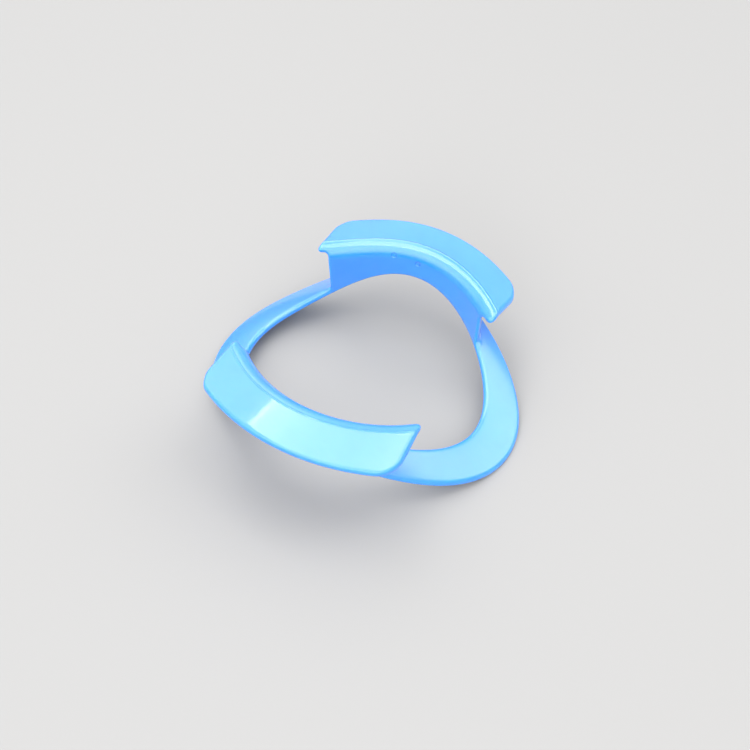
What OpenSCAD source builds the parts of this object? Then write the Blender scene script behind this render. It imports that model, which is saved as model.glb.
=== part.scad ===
// Cheek retractor: a saddle-shaped ring with two raised wings.
// The real object is a single thin moulding. It is divided here where its
// features change: two bows, four arms, and on each side a rail, a throat
// wall, a rolled ridge and a wing. Neighbours meet face to face.
// Frame: +Z up from the table, +Y from the front bow to the rear bow,
// +X to the right wing. Origin: centre of the footprint, on the table.

/* [Opening] */
// Clear width of the opening between the two wings
opening_width = 46.7; // [42:0.1:52]
// Clear length of the opening from bow to bow
opening_length = 55.3; // [50:0.1:60]
// How much the sides are straightened (0 is a plain oval)
side_square = 0.42; // [0:0.02:1]
// How much the bows are filled out
bow_square = 0.31; // [0:0.01:0.6]
// Offset of the widest point of the opening towards the front
egg = 1.11; // [0:0.01:1.4]
// Fine shaping of the quarter points of the opening
quarter_fill = 0.37; // [0:0.01:0.5]

/* [Saddle] */
// Height of the opening's lower edge at the two bows
bow_height = 3.0; // [2.6:0.05:4.5]
// Height of the opening's lower edge at the middle of each side
side_height = 15.8; // [12:0.1:18]
// Flattening of the saddle between bow and side
saddle_flat = 0.5; // [0:0.02:0.8]
// Lift of the front quarters over the rear quarters
saddle_skew = 0.9; // [0:0.05:1.2]

/* [Ring flange] */
// Width of the ring flange at the bows
flange_bow = 8.45; // [6:0.05:10]
// Width of the ring flange at the middle of each side
flange_side = 5.35; // [4.6:0.05:7]
// Extra width of the rear quarters over the front quarters
flange_skew = 0.62; // [0:0.02:1]
// Fall of the flange from its inner edge to its rim
rim_drop = 3.36; // [2:0.02:4]
// Thickness of the flange at its inner edge
flange_thick = 1.7; // [1.4:0.05:2.4]
// Thickness of the flange at its rim
rim_thick = 1.5; // [1.2:0.05:2]
// Radius rolled on the flange's inner top edge
inner_radius = 1.2; // [0.6:0.05:1.3]

/* [Throat and ridge] */
// Height of the throat wall at the middle of each side, flange underside to ridge line
throat_mid = 7.65; // [6.5:0.05:10]
// Extra throat height towards the wing ends as the ring falls away
throat_rise = 6.6; // [5:0.02:8]
// Fall of the ridge line towards the front
throat_tilt = 2.57; // [0:0.01:3]
// Outward lean of the throat at mid side
lean_mid = 0.2; // [0:0.02:0.6]
// Change of that lean from front to rear
lean_skew = 0.86; // [0:0.02:1.1]
// Outside radius of the rolled ridge
ridge_radius = 3.0; // [2.4:0.1:3.4]
// Thickness of the throat and of the wing
wall_thick = 1.75; // [1.4:0.05:2.1]
// Fillet between throat and ring flange
root_radius = 0.9; // [0.5:0.05:1.2]

/* [Wings] */
// Width of the wing at mid side, ridge line to outer edge
wing_mid = 11.54; // [9:0.02:13]
// Extra wing width towards its ends
wing_flare = 0.4; // [0:0.02:1]
// Fall of the wing from ridge to outer edge at mid side
wing_drop = 1.56; // [0.5:0.02:3]
// Extra fall towards the wing ends
wing_droop = 2.1; // [1:0.02:3.2]
// Front end of the wings, measured from the footprint centre
wing_front = 23.0; // [20:0.1:25]
// Rear end of the wings, measured from the footprint centre
wing_rear = 20.3; // [17:0.1:22]
// How far the throat stops short of the wings' front ends
inset_front = 3.6; // [3:0.1:4.4]
// How far the throat stops short of the wings' rear ends
inset_rear = 2.2; // [1.8:0.1:3.2]
// Fillet between the front end of the throat and the underside of the wing tip
notch_front = 1.6; // [0.8:0.05:2]
// Fillet between the rear end of the throat and the underside of the wing tip
notch_rear = 1.2; // [0.6:0.05:1.4]
// Radius of the ridge's rounded front ends
tip_front = 2.2; // [1.2:0.1:2.6]
// Radius of the ridge's rounded rear ends
tip_rear = 1.0; // [0.8:0.1:1.8]
// Where the front tips begin, as a share of the ridge's arc
tip_at_front = 0.23; // [0.12:0.01:0.32]
// Where the rear tips begin, as a share of the ridge's arc
tip_at_rear = 0.41; // [0.2:0.01:0.45]
// Radius of the outer corners of the wings
corner_radius = 3.3; // [1.5:0.1:4]
// Outward flare of the wings' front ends, as a slope
flare_front = 0.06; // [0:0.01:0.2]
// Outward flare of the wings' rear ends, as a slope
flare_rear = 0.13; // [0:0.01:0.2]

/* [Flexing bows] */
// Half the share of each bow that bends when the wings are pinched together
flex_share = 0.10; // [0.08:0.01:0.12]

/* [Hidden] */
blue = [0.22, 0.66, 0.96];
pale = [0.50, 0.82, 0.99];
deep = [0.16, 0.58, 0.95];
LEFT = -1;
RIGHT = 1;

// Divisions along each part, and across the ridge's arc
BOW_STEPS = 8; // in each half
FRONT_ARM_STEPS = 10;
REAR_ARM_STEPS = 14;
SIDE_STEPS = 36;
ARC_STEPS = 6;

// Along the ring, s runs from 0 at the front bow to 1 at the rear bow.
// Three ways for a size to vary with s:
function blend(bow, side, s) = (bow + side) / 2 + (bow - side) / 2 * cos(360 * s);
function off_side(s) = 1 + cos(360 * s);               // 0 at mid side, 2 at the bows
function skew(s) = cos(180 * s) - cos(540 * s);        // + in front quarters, - in rear

// --- The opening's lower edge, on the right side ---
half_width = opening_width / 2 - side_square;
half_length = opening_length / 2 - bow_square;
quarter_length = 0.4 * quarter_fill; // the quarter shaping's part along Y
function ring_x(s) = half_width * sin(180 * s) + egg * sin(360 * s)
    - side_square * sin(540 * s) - quarter_fill * sin(720 * s);
function ring_y(s) = -half_length * cos(180 * s) - egg * cos(360 * s)
    - bow_square * cos(540 * s) + quarter_length * cos(720 * s);
function ring_z(s) = blend(bow_height, side_height, s)
    - saddle_flat * (1 - cos(720 * s)) + saddle_skew * skew(s);

// Unit direction along the edge in plan, from the derivatives by s divided by pi
function ring_heading(s) =
    let (dx = half_width * cos(180 * s) + 2 * egg * cos(360 * s)
             - 3 * side_square * cos(540 * s) - 4 * quarter_fill * cos(720 * s),
         dy = half_length * sin(180 * s) + 2 * egg * sin(360 * s)
             + 3 * bow_square * sin(540 * s) - 4 * quarter_length * sin(720 * s))
    [dx, dy] / norm([dx, dy]);

// --- Sizes of the section at s ---
function flange_width(s) = blend(flange_bow, flange_side, s) - flange_skew * skew(s);
function rim_fall(s) = rim_drop - 0.12 * (1 - cos(360 * s)); // slightly less at the sides
function throat_height(s) = throat_mid + throat_rise * off_side(s) - throat_tilt * cos(180 * s);
function lean(s) = lean_mid + lean_skew * cos(180 * s);
wing_width_skew = 0.3; // extra width to the rear
wing_fall_skew = 1.18; // extra fall to the front
function wing_width(s) = wing_mid + wing_flare * off_side(s) - wing_width_skew * cos(180 * s);
function wing_fall(s) = wing_drop + wing_droop * off_side(s) + wing_fall_skew * cos(180 * s);
function wing_slope(s) = atan2(wing_fall(s), wing_width(s));

// Places a section point [outward from the opening, up from its lower edge] at s
y_mid = (ring_y(0) - flange_width(0) + ring_y(1) + flange_width(1)) / 2;
function place(s, point, side) =
    let (heading = ring_heading(s))
    [side * (ring_x(s) + point.x * heading.y),
     ring_y(s) - point.x * heading.x - y_mid,
     ring_z(s) + point.y];

// --- Section of the ring flange ---
root_out = wall_thick + root_radius; // where the throat's root fillet meets the flange
inner_bevel = 0.45;                  // on the inner bottom edge
rim_bevel = 0.28;
function under(s, out) =
    let (share = out / flange_width(s))
    -rim_fall(s) * (0.7 * share + 0.3 * share * share); // steepens towards the rim
function over(s, out) =
    under(s, out) + flange_thick + (rim_thick - flange_thick) * out / flange_width(s);
// The inner top edge is rolled to the given radius, or left sharp at 0
function flange_loop(s, radius) =
    let (width = flange_width(s), middle = (root_out + width) / 2)
    concat(
        [[0, inner_bevel]],
        radius == 0 ? [[0, flange_thick]] :
            [for (a = [0 : 30 : 90])
                [radius * (1 - cos(a)),
                 flange_thick - radius * (1 - sin(a)) + (over(s, radius) - flange_thick) * sin(a)]],
        [for (out = [root_out, middle, width - 0.8]) [out, over(s, out)]],
        [[width - rim_bevel, over(s, width) - rim_bevel],
         [width, over(s, width) - rim_thick / 2],
         [width - rim_bevel, under(s, width) + 0.08]],
        [for (out = [width - 0.7, width - 1.6, middle, root_out]) [out, under(s, out)]],
        [[inner_bevel, 0]]
    );

// --- Section of throat, ridge and wing, as pairs [inner or top face, outer or under face] ---
// Pairs across the wing: [distance from its outer edge, how far the edge is thinned per face]
WING_ROWS = [
    [corner_radius, 0], [corner_radius * 0.62, 0], [corner_radius * 0.29, 0],
    [0.7, 0], [0.2, 0.28], [0, 0.7]
];
RIDGE_START = 3; // first pair of the ridge's arc, after three up the throat
RIDGE_END = RIDGE_START + ARC_STEPS;
LAST = RIDGE_END + len(WING_ROWS);

function wall_pairs(s) =
    let (height = throat_height(s), tilt = lean(s), slope = wing_slope(s),
         width = wing_width(s), fall = wing_fall(s),
         root_top = over(s, root_out),
         fillet_top = flange_thick + root_radius + 0.4,
         turn = 90 + slope,
         centre = [tilt + ridge_radius, height - ridge_radius * tan(turn / 2)],
         down = [-sin(slope), -cos(slope)]) // square to the wing, through its thickness
    concat(
        [[[0, flange_thick], [root_out, root_top]],
         [[tilt * 0.1, flange_thick + 0.5],
          [wall_thick + root_radius * 0.3, root_top + root_radius * 0.45]],
         [[tilt * 0.2, fillet_top], [wall_thick + tilt * 0.2, fillet_top]]],
        [for (k = [0 : ARC_STEPS])
            let (a = 180 - k * turn / ARC_STEPS)
            [for (radius = [ridge_radius, ridge_radius - wall_thick])
                centre + radius * [cos(a), sin(a)]]],
        [for (row = WING_ROWS)
            let (share = (width - row[0]) / width,
                 top = [tilt + width * share, height - fall * share])
            [for (depth = [row[1], wall_thick - row[1]]) top + depth * down]]
    );

// --- Ends of the wings: how far each pair stops short of the end ---
// Length of the ridge's arc along the middle of the wall, with the wing's slope at s = 0.3
arc_length = (ridge_radius - wall_thick / 2) * (90 + wing_slope(0.3)) * PI / 180;
// At a distance up the arc: throat, notch fillet, rounded tip, full length
function arc_gap(rise, inset, tip_start, tip, notch) =
    rise < tip_start - notch ? inset :
    rise < tip_start ? inset - notch + sqrt(pow(notch, 2) - pow(rise - tip_start + notch, 2)) :
    rise < tip_start + tip ? tip - sqrt(pow(tip, 2) - pow(tip_start + tip - rise, 2)) : 0;
// At a distance from the wing's outer edge: rounded corner, cut short at the edge itself
function corner_gap(edge) =
    edge == 0 ? corner_radius * 0.9 :
    corner_radius - sqrt(pow(corner_radius, 2) - pow(corner_radius - edge, 2));
function gaps(inset, tip_share, tip, notch) = concat(
    [for (i = [1 : RIDGE_START]) inset],
    [for (k = [0 : ARC_STEPS])
        arc_gap(arc_length * k / ARC_STEPS, inset, tip_share * arc_length, tip, notch)],
    [for (row = WING_ROWS) corner_gap(row[0])]
);

// The s between low and high at which one face of pair i reaches y, by bisection
function find_s(i, face, y, low, high, steps = 22) =
    let (middle = (low + high) / 2)
    steps == 0 ? middle :
    place(middle, wall_pairs(middle)[i][face], RIGHT).y < y
        ? find_s(i, face, y, middle, high, steps - 1)
        : find_s(i, face, y, low, middle, steps - 1);
// The s of both faces of every pair at one end; direction is -1 to the front, 1 to the rear.
// The root pair is cut square to the ring, so that it matches the rail below it.
function end_stations(direction, reach, gap, flare, flare_s, low, high) =
    [for (i = [0 : LAST])
        let (y = direction * (reach - gap[i] + flare * wall_pairs(flare_s)[i][0].x),
             first = find_s(i, 0, y, low, high))
        [first, i == 0 ? first : find_s(i, 1, y, low, high)]];
s_front = end_stations(direction = -1, reach = wing_front,
    gap = gaps(inset_front, tip_at_front, tip_front, notch_front),
    flare = flare_front, flare_s = 0.25, low = 0.02, high = 0.5);
s_rear = end_stations(direction = 1, reach = wing_rear,
    gap = gaps(inset_rear, tip_at_rear, tip_rear, notch_rear),
    flare = flare_rear, flare_s = 0.75, low = 0.5, high = 0.97);
root_front = s_front[0][0];
root_rear = s_rear[0][0];

// --- Builders ---
function reversed(list) = [for (k = [len(list) - 1 : -1 : 0]) list[k]];

// A triangulated skin over rows of points, each row a closed loop, capped at both ends.
// The closing quads are split the other way, so that two strips share one and the same face.
module skin(rows, caps, flip) {
    m = len(rows[0]);
    last_row = (len(rows) - 1) * m;
    sides = [for (j = [0 : len(rows) - 2]) for (i = [0 : m - 1])
        let (a = j * m + i, b = j * m + (i + 1) % m, c = b + m, d = a + m)
        each (i == m - 1 ? [[a, b, d], [b, c, d]] : [[a, b, c], [a, c, d]])];
    end_caps = [for (cap = caps) [for (k = reversed(cap)) k + last_row]];
    faces = concat(sides, caps, end_caps);
    polyhedron([for (row = rows) each row], [for (face = faces) flip ? reversed(face) : face]);
}

// A stretch of the ring flange through stations [s, side]
module flange(stations, radius, flip) {
    // The rim is trimmed where it stands on the table
    rows = [for (station = stations) [for (point = flange_loop(station[0], radius))
        let (p = place(station[0], point, station[1]))
        [p.x, p.y, max(p.z, 0)]]];
    skin(rows, [reversed([for (k = [0 : len(rows[0]) - 1]) k])], flip);
}
function run(from, to, steps, side) =
    [for (k = [0 : steps]) [from + (to - from) * k / steps, side]];
// Left to right across the bow at s = 0 or s = 1
function bow_run(bow_s) =
    [for (k = [-BOW_STEPS : BOW_STEPS])
        [abs(bow_s - flex_share * abs(k) / BOW_STEPS), k > 0 ? RIGHT : LEFT]];

// A strip of throat, ridge or wing between two pairs
function strip_point(i, face, share, side) =
    let (s = s_front[i][face] + (s_rear[i][face] - s_front[i][face]) * share)
    place(s, wall_pairs(s)[i][face], side);
module strip(first, last, side) {
    rows = [for (j = [0 : SIDE_STEPS]) concat(
        [for (i = [first : last]) strip_point(i, 0, j / SIDE_STEPS, side)],
        [for (i = [last : -1 : first]) strip_point(i, 1, j / SIDE_STEPS, side)])];
    m = len(rows[0]);
    caps = [for (k = [0 : last - first - 1])
        each [[k + 1, k, m - 1 - k], [k + 1, m - 1 - k, m - 2 - k]]];
    skin(rows, caps, side == RIGHT);
}

module front_arm(side)
    flange(run(flex_share, root_front, FRONT_ARM_STEPS, side), inner_radius, side == RIGHT);
module rear_arm(side)
    flange(run(root_rear, 1 - flex_share, REAR_ARM_STEPS, side), inner_radius, side == RIGHT);
module side_rail(side) flange(run(root_front, root_rear, SIDE_STEPS, side), 0, side == RIGHT);
module throat_wall(side) strip(0, RIDGE_START, side);
module ridge(side) strip(RIDGE_START, RIDGE_END, side);
module wing(side) strip(RIDGE_END, LAST, side);

// --- Parts ---
module front_bow() color(blue) flange(bow_run(0), inner_radius, true);
module rear_bow() color(blue) flange(bow_run(1), inner_radius, false);
module left_front_arm() color(pale) front_arm(LEFT);
module right_front_arm() color(pale) front_arm(RIGHT);
module left_rear_arm() color(pale) rear_arm(LEFT);
module right_rear_arm() color(pale) rear_arm(RIGHT);
module left_side_rail() color(blue) side_rail(LEFT);
module right_side_rail() color(blue) side_rail(RIGHT);
module left_throat_wall() color(deep) throat_wall(LEFT);
module right_throat_wall() color(deep) throat_wall(RIGHT);
module left_ridge() color(pale) ridge(LEFT);
module right_ridge() color(pale) ridge(RIGHT);
module left_wing() color(blue) wing(LEFT);
module right_wing() color(blue) wing(RIGHT);

front_bow();
rear_bow();
left_front_arm();
right_front_arm();
left_rear_arm();
right_rear_arm();
left_side_rail();
right_side_rail();
left_throat_wall();
right_throat_wall();
left_ridge();
right_ridge();
left_wing();
right_wing();
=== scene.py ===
"""A sky-blue plastic moulding: a saddle-shaped oval ring flange round an opening. On each
side a thin wall, the throat, rises from the ring, bends outward over a ridge and ends in
a drooping wing. It is mirrored in x, its front bow points to -Y, and z = 0 cuts it flat.
"""
import math
from itertools import product
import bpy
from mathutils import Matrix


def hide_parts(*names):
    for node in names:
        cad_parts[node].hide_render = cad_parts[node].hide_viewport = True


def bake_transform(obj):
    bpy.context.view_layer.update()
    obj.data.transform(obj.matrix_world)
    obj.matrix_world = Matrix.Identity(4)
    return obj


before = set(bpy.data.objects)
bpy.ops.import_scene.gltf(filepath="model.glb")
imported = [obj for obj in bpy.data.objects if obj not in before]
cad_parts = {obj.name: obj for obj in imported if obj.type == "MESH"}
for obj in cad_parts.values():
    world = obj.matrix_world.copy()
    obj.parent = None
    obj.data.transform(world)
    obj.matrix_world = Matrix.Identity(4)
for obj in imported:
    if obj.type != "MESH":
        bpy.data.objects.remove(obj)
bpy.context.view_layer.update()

from types import SimpleNamespace

import bpy
import numpy as np
from mathutils import Matrix, Vector

scene = bpy.context.scene

# ---------------------------------------------------------------------------
# The moulding's shape, in millimetres. s runs along the opening's edge from the
# front bow (0) to the rear bow (1), "across" is the distance outward from that
# edge, and "fore" is measured towards -Y.
# ---------------------------------------------------------------------------
PI = np.pi
# opening's edge: size, then the amounts that square, egg and skew the oval
OPENING_WIDTH, OPENING_LENGTH = 46.7, 55.3
SIDE_SQUARE, BOW_SQUARE = 0.42, 0.31
EGG, QUARTER, QUARTER_FORE = 1.11, 0.37, 0.4
HALF_WIDTH_WAVE = OPENING_WIDTH / 2 - SIDE_SQUARE
HALF_LENGTH_WAVE = OPENING_LENGTH / 2 - BOW_SQUARE
# height of the edge
BOW_Z, SIDE_Z, SADDLE_FLAT, SADDLE_SKEW = 3.0, 15.8, 0.5, 0.9
# flange: width, fall of the outer rim and its curve, thickness
FLANGE_BOW, FLANGE_SIDE, FLANGE_SKEW = 8.45, 5.35, 0.62
RIM_DROP, SIDE_DROP_CUT = 3.36, 0.12
FALL_STRAIGHT, FALL_CURVED = 0.7, 0.3
FLANGE_THICK, RIM_THICK = 1.7, 1.5
# rounding of the flange's edges
INNER_ROUND, RIM_ROUND = 1.15, 0.55
UNDER_ROUND, UNDER_ROUND_GAIN = 0.4, 0.05
# throat: height, lean, and the foot of its middle line
THROAT_MID, THROAT_RISE, THROAT_TILT = 7.65, 6.6, 2.57
LEAN_MID, LEAN_SKEW = 0.2, 0.86
FOOT_Z = 1.0
# ridge: outer radius, and radius of the wall's middle line
RIDGE_RADIUS, WALL = 3.0, 1.75
RIDGE_MID = RIDGE_RADIUS - WALL / 2
# wing: run and fall from the ridge's corner
WING_WIDTH, WING_WIDEN, WING_SKEW = 11.54, 0.4, 0.3
WING_FALL, WING_DROOP, DROOP_SKEW = 1.56, 2.1, 1.18
FLARE_LIMIT = 13
CORNER_ROUND, WING_EDGE_ROUND = 3.3, 0.80
WING_ENDS = (
    # sign of fore, length, flare, throat inset, tip's share of the arc, tip and notch radii
    (1, 23.0, 0.06, 3.6, 0.23, 2.2, 1.6),
    (-1, 20.3, 0.13, 2.2, 0.41, 1.0, 1.2),
)
# fillet between flange and throat: (largest radius, start, full) across and past the ends
FILLET_ACROSS, FILLET_PAST_END = (1.1, 0.4, 1.8), (1.3, -0.6, 1.2)
FILLET_LEAST, BASE_ROUND = 0.02, 0.12

GRID_STEP = 0.26
CREST_OFFSET, OFF_CREST = 0.18, 9.0


def sine(k, s):
    return np.sin(k * PI * s)


def cosine(k, s):
    return np.cos(k * PI * s)


def edge(s):
    """The opening's edge in plan: x and fore."""
    x = (HALF_WIDTH_WAVE * sine(1, s) + EGG * sine(2, s) - SIDE_SQUARE * sine(3, s)
         - QUARTER * sine(4, s))
    fore = (HALF_LENGTH_WAVE * cosine(1, s) + EGG * cosine(2, s) + BOW_SQUARE * cosine(3, s)
            - QUARTER_FORE * QUARTER * cosine(4, s))
    return x, fore


def edge_slope(s):
    """First derivative of the edge by pi * s."""
    x = (HALF_WIDTH_WAVE * cosine(1, s) + 2 * EGG * cosine(2, s)
         - 3 * SIDE_SQUARE * cosine(3, s) - 4 * QUARTER * cosine(4, s))
    fore = (-HALF_LENGTH_WAVE * sine(1, s) - 2 * EGG * sine(2, s)
            - 3 * BOW_SQUARE * sine(3, s) + 4 * QUARTER_FORE * QUARTER * sine(4, s))
    return x, fore


def edge_bend(s):
    """Second derivative of the edge by pi * s."""
    x = (-HALF_WIDTH_WAVE * sine(1, s) - 4 * EGG * sine(2, s)
         + 9 * SIDE_SQUARE * sine(3, s) + 16 * QUARTER * sine(4, s))
    fore = (-HALF_LENGTH_WAVE * cosine(1, s) - 4 * EGG * cosine(2, s)
            - 9 * BOW_SQUARE * cosine(3, s) + 16 * QUARTER_FORE * QUARTER * cosine(4, s))
    return x, fore


def edge_z(s):
    return ((BOW_Z + SIDE_Z) / 2 - SADDLE_FLAT + (BOW_Z - SIDE_Z) / 2 * cosine(2, s)
            + SADDLE_FLAT * cosine(4, s) + SADDLE_SKEW * (cosine(1, s) - cosine(3, s)))


def edge_z_slope(s):
    return (-(BOW_Z - SIDE_Z) * sine(2, s) - 4 * SADDLE_FLAT * sine(4, s)
            + SADDLE_SKEW * (-sine(1, s) + 3 * sine(3, s)))


def flange_width(s):
    return ((FLANGE_BOW + FLANGE_SIDE) / 2 + (FLANGE_BOW - FLANGE_SIDE) / 2 * cosine(2, s)
            - FLANGE_SKEW * (cosine(1, s) - cosine(3, s)))


# fore of the flange's middle, which lies at y = 0
MID_FORE = float((edge(0.0)[1] + flange_width(0.0) + edge(1.0)[1] - flange_width(1.0)) / 2)
TABLE_S = np.linspace(0, 1, 601)
TABLE_EDGE = np.stack(edge(TABLE_S), -1)


def nearest(x, fore, s=None):
    """The s of the nearest point of the edge, by Newton steps from s or from the table."""
    steps = 2
    if s is None:
        steps = 4
        s = np.empty(x.shape)
        chunk = 20000
        for start in range(0, len(x), chunk):
            part = slice(start, start + chunk)
            gap = ((x[part, None] - TABLE_EDGE[None, :, 0]) ** 2
                   + (fore[part, None] - TABLE_EDGE[None, :, 1]) ** 2)
            s[part] = TABLE_S[np.argmin(gap, 1)]
    for _ in range(steps):
        ex, ef = edge(s)
        dx, df = edge_slope(s)
        ddx, ddf = edge_bend(s)
        first = (ex - x) * dx + (ef - fore) * df
        second = dx * dx + df * df + (ex - x) * ddx + (ef - fore) * ddf
        s = np.clip(s - np.clip(first / np.maximum(second, 20) / PI, -0.02, 0.02), 0, 1)
    return s


def both(a, b, r):
    """Both shapes, with an edge rounded to r."""
    return np.minimum(-r, np.maximum(a, b)) + np.hypot(np.maximum(r + a, 0), np.maximum(r + b, 0))


def either(a, b, r):
    """Either shape, with a fillet of r."""
    return np.maximum(r, np.minimum(a, b)) - np.hypot(np.maximum(r - a, 0), np.maximum(r - b, 0))


def smooth(x, low, high):
    t = np.clip((x - low) / (high - low), 0, 1)
    return t * t * (3 - 2 * t)


def column_at(x, fore, s):
    """What depends on the place in plan only."""
    ex, ef = edge(s)
    dx, df = edge_slope(s)
    speed = np.hypot(dx, df)
    height = THROAT_MID + THROAT_RISE * (1 + cosine(2, s)) - THROAT_TILT * cosine(1, s)
    lean = LEAN_MID + LEAN_SKEW * cosine(1, s)
    run = WING_WIDTH + WING_WIDEN * (1 + cosine(2, s)) - WING_SKEW * cosine(1, s)
    fall = WING_FALL + WING_DROOP * (1 + cosine(2, s)) + DROOP_SKEW * cosine(1, s)
    droop = np.arctan2(fall, run)
    turn = PI / 2 + droop
    tangent = RIDGE_RADIUS * np.tan(turn / 2)
    return SimpleNamespace(
        across=(x - ex) * (-df / speed) + (fore - ef) * (dx / speed),
        fore=fore - MID_FORE,
        edge_z=edge_z(s),
        slope=edge_z_slope(s) / speed,
        width=flange_width(s),
        rim_fall=RIM_DROP - SIDE_DROP_CUT * (1 - cosine(2, s)),
        lean=lean,
        droop=droop,
        turn=turn,
        ridge_across=lean + RIDGE_RADIUS,
        ridge_z=height - tangent,
        reach=np.hypot(run, fall) - tangent)


def flange(col, z):
    """Distance to the ring flange; z is measured from the edge."""
    n, width = col.across, col.width
    t = np.clip(n / width, -0.2, 1.25)
    under = -col.rim_fall * (FALL_STRAIGHT * t + FALL_CURVED * t * t)
    over = under + FLANGE_THICK + (RIM_THICK - FLANGE_THICK) * t
    radial_slope = col.rim_fall / width * (FALL_STRAIGHT + 2 * FALL_CURVED * t)
    scale = 1 / np.sqrt(1 + col.slope ** 2 + radial_slope ** 2)
    side = np.maximum(-n, n - width)
    outward = smooth(n / width, 0.3, 0.7)
    band = both(side, (z - over) * scale, INNER_ROUND + (RIM_ROUND - INNER_ROUND) * outward)
    return both(band, (under - z) * scale, UNDER_ROUND + UNDER_ROUND_GAIN * outward)


def middle_line(col, z):
    """Distance to the bent middle line of throat, ridge and wing, and the length along
    it from the start of the ridge's arc."""
    n = col.across
    far = 1e3
    # throat: a straight line from its foot to the arc
    foot = WALL / 2
    line_n, line_z = col.lean + WALL / 2 - foot, col.ridge_z - FOOT_Z
    length = np.hypot(line_n, line_z)
    q = ((n - foot) * line_n + (z - FOOT_Z) * line_z) / (length * length)
    inside = np.clip(q, 0, 1)
    gap = np.hypot(n - foot - line_n * inside, z - FOOT_Z - line_z * inside)
    along = (np.minimum(q, 1) - 1) * length
    # ridge: an arc
    arc_n, arc_z = n - col.ridge_across, z - col.ridge_z
    angle = np.arctan2(arc_z, -arc_n)
    on_arc = (angle >= 0) & (angle <= col.turn)
    arc_gap = np.where(on_arc, np.abs(np.hypot(arc_n, arc_z) - RIDGE_MID), far)
    along = np.where(arc_gap < gap, RIDGE_MID * angle, along)
    gap = np.minimum(gap, arc_gap)
    # wing: a straight ray from the arc's end
    from_n = n - (col.ridge_across - RIDGE_MID * np.cos(col.turn))
    from_z = z - (col.ridge_z + RIDGE_MID * np.sin(col.turn))
    ray_n, ray_z = np.cos(col.droop), -np.sin(col.droop)
    ray = from_n * ray_n + from_z * ray_z
    ray_gap = np.where(ray >= 0, np.abs(from_z * ray_n - from_n * ray_z), far)
    along = np.where(ray_gap < gap, col.turn * RIDGE_MID + ray, along)
    return np.minimum(gap, ray_gap), along


def solid(col, z):
    """Signed distance to the moulding's surface, negative inside, and the length
    along the sheet's middle line."""
    n, local_z = col.across, z - col.edge_z
    gap, along = middle_line(col, local_z)
    outer = along - (col.turn * RIDGE_MID + col.reach)
    ends, throat_ends = [], []
    for sign, length, flare, inset, tip_share, tip_round, notch_round in WING_ENDS:
        past = sign * col.fore - length
        end = past - flare * np.clip(n, 0, FLARE_LIMIT)
        tip = tip_share * col.turn * RIDGE_MID - along
        cut = either(both(end, tip, tip_round), end + inset, notch_round)
        ends.append(both(cut, outer, CORNER_ROUND))
        throat_ends.append(past + inset)
    sheet = both(np.maximum(*ends), gap - WALL / 2, WING_EDGE_ROUND)
    fillets = [largest * smooth(value, start, full) for value, (largest, start, full) in
               ((n, FILLET_ACROSS), (np.maximum(*throat_ends), FILLET_PAST_END))]
    whole = either(flange(col, local_z), sheet, np.maximum(*fillets) + FILLET_LEAST)
    return both(whole, -z, BASE_ROUND), along


def field(points, s=None):
    x, fore = np.abs(points[:, 0]), MID_FORE - points[:, 1]
    s = nearest(x, fore, s)
    return solid(column_at(x, fore, s), points[:, 2])[0], s


def gradient(points, s, reach=0.02):
    slopes = np.empty_like(points)
    for axis in range(3):
        offset = np.zeros(3)
        offset[axis] = reach
        rise = field(points + offset, s)[0] - field(points - offset, s)[0]
        slopes[:, axis] = rise / (2 * reach)
    return slopes


# ---------------------------------------------------------------------------
# Mesh: the zero surface of the field as evened-out quads
# ---------------------------------------------------------------------------


def sample_field(step):
    """The field on a lattice, worked out for x >= 0 and mirrored."""
    xs = np.arange(0, 36.2 + step, step)
    ys = np.arange(-36.8, 36.8 + step, step)
    zs = np.arange(-2 * step - 0.013, 24.4 + step, step)
    grid_x, grid_y = np.meshgrid(xs, ys, indexing="ij")
    x, fore = grid_x.ravel(), MID_FORE - grid_y.ravel()
    col = column_at(x, fore, nearest(x, fore))
    near = (col.across > -1.5) & (col.across < 15.5)
    near_col = SimpleNamespace(**{key: a[near][:, None] for key, a in vars(col).items()})
    values = np.full((len(x), len(zs)), 9.0, np.float32)
    values[near] = solid(near_col, zs[None, :])[0]
    values = values.reshape(len(xs), len(ys), len(zs))
    values = np.concatenate([values[:0:-1], values], 0)
    return np.concatenate([-xs[:0:-1], xs]), ys, zs, values


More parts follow.
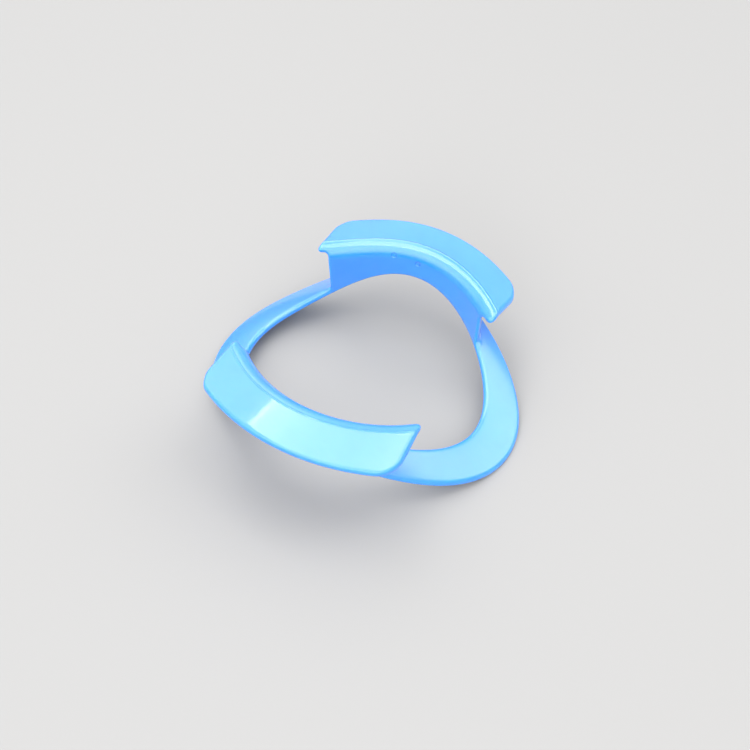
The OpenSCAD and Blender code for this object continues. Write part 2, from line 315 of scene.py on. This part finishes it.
def surface_net(step):
    """One point per lattice cell that the surface crosses, one quad per crossed edge."""
    xs, ys, zs, values = sample_field(step)
    inside = values < 0
    nx, ny, nz = np.array(values.shape) - 1
    corners = list(product((0, 1), repeat=3))
    units = np.eye(3, dtype=int)
    count = np.zeros((nx, ny, nz), np.int8)
    for i, j, k in corners:
        count += inside[i:nx + i, j:ny + j, k:nz + k]
    crossed = (count > 0) & (count < 8)
    cells = np.argwhere(crossed)
    index = np.full(crossed.shape, -1, np.int64)
    index[crossed] = np.arange(len(cells))

    # each point is the mean of the crossings on its cell's twelve edges
    sums = np.zeros((len(cells), 3))
    hits = np.zeros(len(cells))
    for corner in corners:
        for axis in range(3):
            if corner[axis]:
                continue
            start = cells + np.array(corner)
            a = values[tuple(start.T)].astype(float)
            b = values[tuple((start + units[axis]).T)].astype(float)
            hit = (a < 0) != (b < 0)
            crossing = start + 0.0
            crossing[:, axis] += np.where(hit, a / np.where(hit, a - b, 1), 0)
            sums[hit] += crossing[hit]
            hits[hit] += 1
    q = sums / hits[:, None]
    points = np.stack([np.interp(q[:, 0], np.arange(len(xs)), xs),
                       ys[0] + step * q[:, 1], zs[0] + step * q[:, 2]], -1)

    quads = []
    for axis in range(3):
        low, high = [slice(None)] * 3, [slice(None)] * 3
        low[axis], high[axis] = slice(None, -1), slice(1, None)
        first = inside[tuple(low)]
        edges = np.argwhere(first != inside[tuple(high)])
        side1, side2 = (axis + 1) % 3, (axis + 2) % 3
        kept = ((edges[:, side1] > 0) & (edges[:, side2] > 0)
                & (edges[:, side1] < crossed.shape[side1])
                & (edges[:, side2] < crossed.shape[side2]))
        edges = edges[kept]
        u1, u2 = units[side1], units[side2]
        around = (edges - u1 - u2, edges - u2, edges, edges - u1)
        quad = np.stack([index[tuple(cell.T)] for cell in around], -1)
        flip = ~first[tuple(edges.T)]
        quad[flip] = quad[flip][:, ::-1]
        quads.append(quad)
    return points, np.concatenate(quads)


def relax(points, quads, rounds=4, pull=0.6, longest_step=0.15):
    """Evens out the points along the surface and puts them exactly on it."""
    a, b = np.concatenate([quads[:, [i, (i + 1) % 4]] for i in range(4)]).T
    n = len(points)
    degree = np.bincount(a, minlength=n) + np.bincount(b, minlength=n)
    for turn in range(rounds):
        if turn:
            mean = np.stack([np.bincount(a, points[b, i], n) + np.bincount(b, points[a, i], n)
                             for i in range(3)], -1) / degree[:, None]
            points = points + pull * (mean - points)
        _, s = field(points)
        for _ in range(2):
            value, s = field(points, s)
            slopes = gradient(points, s)
            square = np.maximum((slopes ** 2).sum(1), 0.25)
            step = -(value / square)[:, None] * slopes
            length = np.linalg.norm(step, axis=1)
            limit = np.minimum(1, longest_step / np.maximum(length, 1e-9))
            points = points + step * limit[:, None]
    return points, s


def add_object(name, data):
    obj = bpy.data.objects.new(name, data)
    scene.collection.objects.link(obj)
    return obj


def crest_distance(points, s):
    """Distance from the mould's parting line along each ridge's crest, in mm."""
    col = column_at(np.abs(points[:, 0]), MID_FORE - points[:, 1], s)
    z = points[:, 2]
    along = solid(col, z)[1]
    from_axis = np.hypot(col.ridge_across - col.across, z - col.edge_z - col.ridge_z)
    on_top = from_axis > RIDGE_RADIUS - 0.5
    return np.where(on_top, along - PI / 2 * RIDGE_MID - CREST_OFFSET, OFF_CREST)


def moulding():
    points, quads = surface_net(GRID_STEP)
    points, s = relax(points, quads)
    used, faces = np.unique(quads, return_inverse=True)
    points, s, faces = points[used], s[used], faces.ravel()
    mesh = bpy.data.meshes.new("moulding")
    mesh.vertices.add(len(points))
    mesh.vertices.foreach_set("co", (points / 1000).astype(np.float32).ravel())
    mesh.loops.add(len(faces))
    mesh.loops.foreach_set("vertex_index", faces.astype(np.int32))
    mesh.polygons.add(len(quads))
    mesh.polygons.foreach_set("loop_start", np.arange(0, len(faces), 4, dtype=np.int32))
    mesh.update(calc_edges=True)
    mesh.validate()
    mesh.shade_smooth()
    crest = mesh.attributes.new("crest", "FLOAT", "POINT")
    crest.data.foreach_set("value", crest_distance(points, s).astype(np.float32))
    return add_object("moulding", mesh)


body = moulding()


# ---------------------------------------------------------------------------
# Material: glossy, slightly translucent sky-blue moulded plastic
# ---------------------------------------------------------------------------
class Graph:
    """Adds nodes to a tree; an input may be a value or another node's output."""

    def __init__(self, tree):
        self.tree = tree
        self.coords = tree.nodes.new("ShaderNodeTexCoord").outputs

    def fill(self, node, inputs):
        for key, value in inputs.items():
            if isinstance(value, bpy.types.NodeSocket):
                self.tree.links.new(value, node.inputs[key])
            else:
                node.inputs[key].default_value = value

    def node(self, kind, inputs, **settings):
        node = self.tree.nodes.new("ShaderNode" + kind)
        for key, value in settings.items():
            setattr(node, key, value)
        self.fill(node, inputs)
        return node.outputs

    def math(self, operation, *values):
        return self.node("Math", dict(enumerate(values)), operation=operation)[0]

    def vector_value(self, operation, a, b):
        return self.node("VectorMath", {0: a, 1: b}, operation=operation)["Value"]

    def map_range(self, value, source, target, **settings):
        return self.node("MapRange", {
            "Value": value, "From Min": source[0], "From Max": source[1],
            "To Min": target[0], "To Max": target[1]}, **settings)["Result"]

    def mix(self, factor, a, b):
        return self.node("Mix", {"Factor": factor, "A": a, "B": b}, data_type="RGBA")["Result"]

    def noise(self, scale, detail, roughness=0.5, stretch=None, distortion=0.0):
        place = self.coords["Object"]
        if stretch:
            place = self.node("Mapping", {"Vector": place, "Scale": stretch})["Vector"]
        return self.node("TexNoise", {
            "Vector": place, "Scale": scale, "Detail": detail,
            "Roughness": roughness, "Distortion": distortion})["Fac"]

    def bump(self, height, distance, strength=1.0, normal=None):
        inputs = {"Strength": strength, "Distance": distance, "Height": height}
        if normal:
            inputs["Normal"] = normal
        return self.node("Bump", inputs)["Normal"]


def pigment(g):
    """Slow cloudiness, flow streaks along the wings, a few specks of unmelted pigment."""
    cloud = g.noise(scale=55, detail=3)
    streak = g.noise(scale=90, detail=4, roughness=0.6, stretch=(1.0, 0.22, 1.0), distortion=0.6)
    tone = g.mix(g.map_range(cloud, (0.3, 0.7), (0, 1)),
                 (0.016, 0.222, 0.700, 1), (0.026, 0.246, 0.750, 1))
    tone = g.mix(g.map_range(streak, (0.42, 0.75), (0, 0.35)), tone, (0.040, 0.275, 0.790, 1))
    dots = g.node("TexVoronoi", {"Vector": g.coords["Object"], "Scale": 210})["Distance"]
    speck = g.map_range(dots, (0.02, 0.05), (0.30, 0.0))
    chosen = g.map_range(g.noise(scale=400, detail=1), (0.60, 0.66), (0, 1))
    return g.mix(g.math("MULTIPLY", speck, chosen), tone, (0.02, 0.25, 0.75, 1))


def mould_marks(g):
    """(depth in metres, height) of the parting line on each ridge's crest and of two
    round ejector marks high on each throat's inner face."""
    xyz = g.node("SeparateXYZ", {0: g.coords["Object"]})
    folded = g.node("CombineXYZ", {
        "X": g.math("ABSOLUTE", xyz["X"]), "Y": xyz["Y"], "Z": xyz["Z"]})[0]
    line = g.node("Attribute", {}, attribute_name="crest")["Fac"]
    marks = [(0.00008, g.map_range(g.math("ABSOLUTE", line), (0.03, 0.20), (1.0, 0.0)))]
    for centre in ((0.02330, 0.00480, 0.02085), (0.02392, -0.00090, 0.02010)):
        away = g.vector_value("DISTANCE", folded, centre)
        marks.append((0.00028, g.map_range(away, (0.00042, 0.00066), (0.0, 1.0))))
    return marks


def plastic():
    material = bpy.data.materials.new("sky_blue_plastic")
    material.use_nodes = True
    tree = material.node_tree
    tree.nodes.clear()
    output = tree.nodes.new("ShaderNodeOutputMaterial")
    shader = tree.nodes.new("ShaderNodeBsdfPrincipled")
    tree.links.new(shader.outputs["BSDF"], output.inputs["Surface"])
    g = Graph(tree)
    colour = pigment(g)
    # handling haze on the polish
    haze = g.noise(scale=260, detail=5, roughness=0.65)
    # slight orange peel and faint flow waves
    peel = g.noise(scale=1500, detail=2)
    wave = g.noise(scale=120, detail=2, roughness=0.4, stretch=(1.0, 0.4, 1.0))
    normal = g.bump(peel, distance=0.00004, strength=0.22)
    normal = g.bump(wave, distance=0.00020, strength=0.30, normal=normal)
    # the marks show in the plastic and in its otherwise smooth coat
    coat_normal = None
    for depth, height in mould_marks(g):
        normal = g.bump(height, depth, normal=normal)
        coat_normal = g.bump(height, depth, normal=coat_normal)
    g.fill(shader, {
        "Base Color": colour,
        "Roughness": g.map_range(haze, (0.3, 0.75), (0.15, 0.25)),
        "Normal": normal,
        "IOR": 1.5,
        "Specular IOR Level": 0.5,
        "Coat Weight": 1.0,
        "Coat IOR": 1.58,
        "Coat Roughness": g.map_range(haze, (0.3, 0.75), (0.05, 0.11)),
        "Coat Normal": coat_normal,
        "Subsurface Weight": 0.75,
        "Subsurface Radius": (0.25, 0.65, 1.0),
        "Subsurface Scale": 0.0022})
    return material


body.data.materials.append(plastic())
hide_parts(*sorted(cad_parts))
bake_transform(body)


# ---------------------------------------------------------------------------
# Floor, lights, world, camera
# ---------------------------------------------------------------------------
def floor(half=3.0):
    mesh = bpy.data.meshes.new("floor")
    corners = [(-half, -half, 0), (half, -half, 0), (half, half, 0), (-half, half, 0)]
    mesh.from_pydata(corners, [], [(0, 1, 2, 3)])
    obj = add_object("floor", mesh)
    material = bpy.data.materials.new("floor")
    material.use_nodes = True
    shader = material.node_tree.nodes["Principled BSDF"]
    shader.inputs["Roughness"].default_value = 0.7
    shader.inputs["Base Color"].default_value = (0.270, 0.268, 0.266, 1)
    mesh.materials.append(material)


floor()

AZIMUTH, ELEVATION, ROLL = (math.radians(a) for a in (59.287, 48.243, -1.516))
# the camera's level axes
RIGHT = Vector((math.cos(AZIMUTH), -math.sin(AZIMUTH), 0))
AWAY = Vector((math.sin(AZIMUTH), math.cos(AZIMUTH), 0))
UP = Vector((0, 0, 1))

# White light tent: an overhead panel with brighter strips along its left and far edges.
# Places are along RIGHT and AWAY, in units of the lamp's height.
PANEL_HEIGHT = 0.60
PANEL_NEAR = -0.20
PANELS = (
    # left, right, far edge, radiance
    (-0.36, -0.20, 0.60, 3.5),
    (-0.20, -0.04, 0.46, 3.2),
    (-0.04, 0.14, 0.34, 2.9),
    (0.14, 0.50, 0.18, 2.7),
)
STRIP_RADIANCE, STRIP_DROP = 6.0, 0.004
STRIPS = (
    # name, start, end, width
    ("strip_left", (-0.352, PANEL_NEAR), (-0.352, 0.72), 0.022),
    ("strip_far", (-0.365, 0.69), (0.50, 0.02), 0.045),
)


def axes_matrix(x_axis, y_axis, z_axis, place):
    matrix = Matrix((x_axis, y_axis, z_axis)).transposed().to_4x4()
    matrix.translation = place
    return matrix


def area_lamp(name, matrix, radiance, width, depth=None):
    """A square lamp, or a rectangular one where depth is given."""
    lamp = bpy.data.lights.new(name, "AREA")
    lamp.shape = "RECTANGLE" if depth else "SQUARE"
    lamp.size = width
    if depth:
        lamp.size_y = depth
    lamp.energy = radiance * math.pi * width * (depth or width)
    obj = add_object(name, lamp)
    obj.matrix_world = matrix
    return obj


def overhead(name, start, end, radiance, width=None, drop=0.0):
    """A rectangle between two corners, or a strip of the given width between two ends."""
    length, depth = end[0] - start[0], end[1] - start[1]
    turn = 0.0
    if width:
        turn = math.atan2(depth, length)
        length, depth = math.hypot(length, depth), width
    height = PANEL_HEIGHT - drop
    middle = RIGHT * (start[0] + end[0]) / 2 + AWAY * (start[1] + end[1]) / 2 + UP
    matrix = axes_matrix(RIGHT * math.cos(turn) + AWAY * math.sin(turn),
                         -RIGHT * math.sin(turn) + AWAY * math.cos(turn), UP, middle * height)
    area_lamp(name, matrix, radiance, length * height, depth * height)


for number, (left, right, far, radiance) in enumerate(PANELS, 1):
    overhead(f"panel_{number}", (left, PANEL_NEAR), (right, far), radiance)
for name, start, end, width in STRIPS:
    overhead(name, start, end, STRIP_RADIANCE, width, STRIP_DROP)


def fill_lamp(direction, distance, size, radiance):
    """A soft lamp on the camera's side that is not mirrored in the plastic."""
    d = Vector(direction).normalized()
    matrix = Matrix.Translation(d * distance) @ d.to_track_quat("Z", "Y").to_matrix().to_4x4()
    area_lamp("fill", matrix, radiance, size).visible_glossy = False


fill_lamp(direction=(-0.90, -0.25, 0.32), distance=0.75, size=0.42, radiance=5.5)

WALL_LIGHT = 0.45
LOBES = (
    # direction, cosines where it starts and is full, strength, height where its
    # fade towards the floor starts (0: no fade)
    ((0, 0, 1), (0.0, 0.5), 0.90, 0),
    ((0.45, -0.55, 0.70), (0.85, 1.0), 2.2, 0),
    ((0.35, 0.65, 0.67), (0.85, 1.0), 1.1, 0),
    ((0.60, 0.42, 0.67), (0.955, 1.0), 0.9, 0),
    ((-0.90, -0.15, 0.30), (0.2, 0.8), 1.6, 0.70),
)


def lobe(g, direction, cosines, amount, fade):
    """A soft bright region of the walls, round one direction."""
    view = g.coords["Generated"]
    dot = g.vector_value("DOT_PRODUCT", view, Vector(direction).normalized())
    light = g.map_range(dot, cosines, (0.0, amount), interpolation_type="SMOOTHSTEP")
    if fade:
        z = g.node("SeparateXYZ", {0: view})["Z"]
        rise = g.map_range(z, (0.0, fade), (0.0, 1.0), interpolation_type="SMOOTHSTEP")
        light = g.math("MULTIPLY", light, rise)
    return light


def tent_walls():
    world = bpy.data.worlds.new("world")
    world.use_nodes = True
    g = Graph(world.node_tree)
    strength = WALL_LIGHT
    for light in [lobe(g, *row) for row in LOBES]:
        strength = g.math("ADD", strength, light)
    g.fill(world.node_tree.nodes["Background"], {0: (1, 1, 1, 1), 1: strength})
    scene.world = world


def camera():
    forward = AWAY * math.cos(ELEVATION) - UP * math.sin(ELEVATION)
    top = AWAY * math.sin(ELEVATION) + UP * math.cos(ELEVATION)
    data = bpy.data.cameras.new("camera")
    data.sensor_width = 36
    data.lens = 49.76
    data.shift_x = 0.0019
    data.shift_y = 0.0003
    data.clip_start = 0.01
    obj = add_object("camera", data)
    obj.matrix_world = axes_matrix(RIGHT * math.cos(ROLL) + top * math.sin(ROLL),
                                   -RIGHT * math.sin(ROLL) + top * math.cos(ROLL),
                                   -forward, Vector((-0.129542, -0.079795, 0.176186)))
    scene.camera = obj


tent_walls()
scene.view_settings.view_transform = "Standard"
camera()
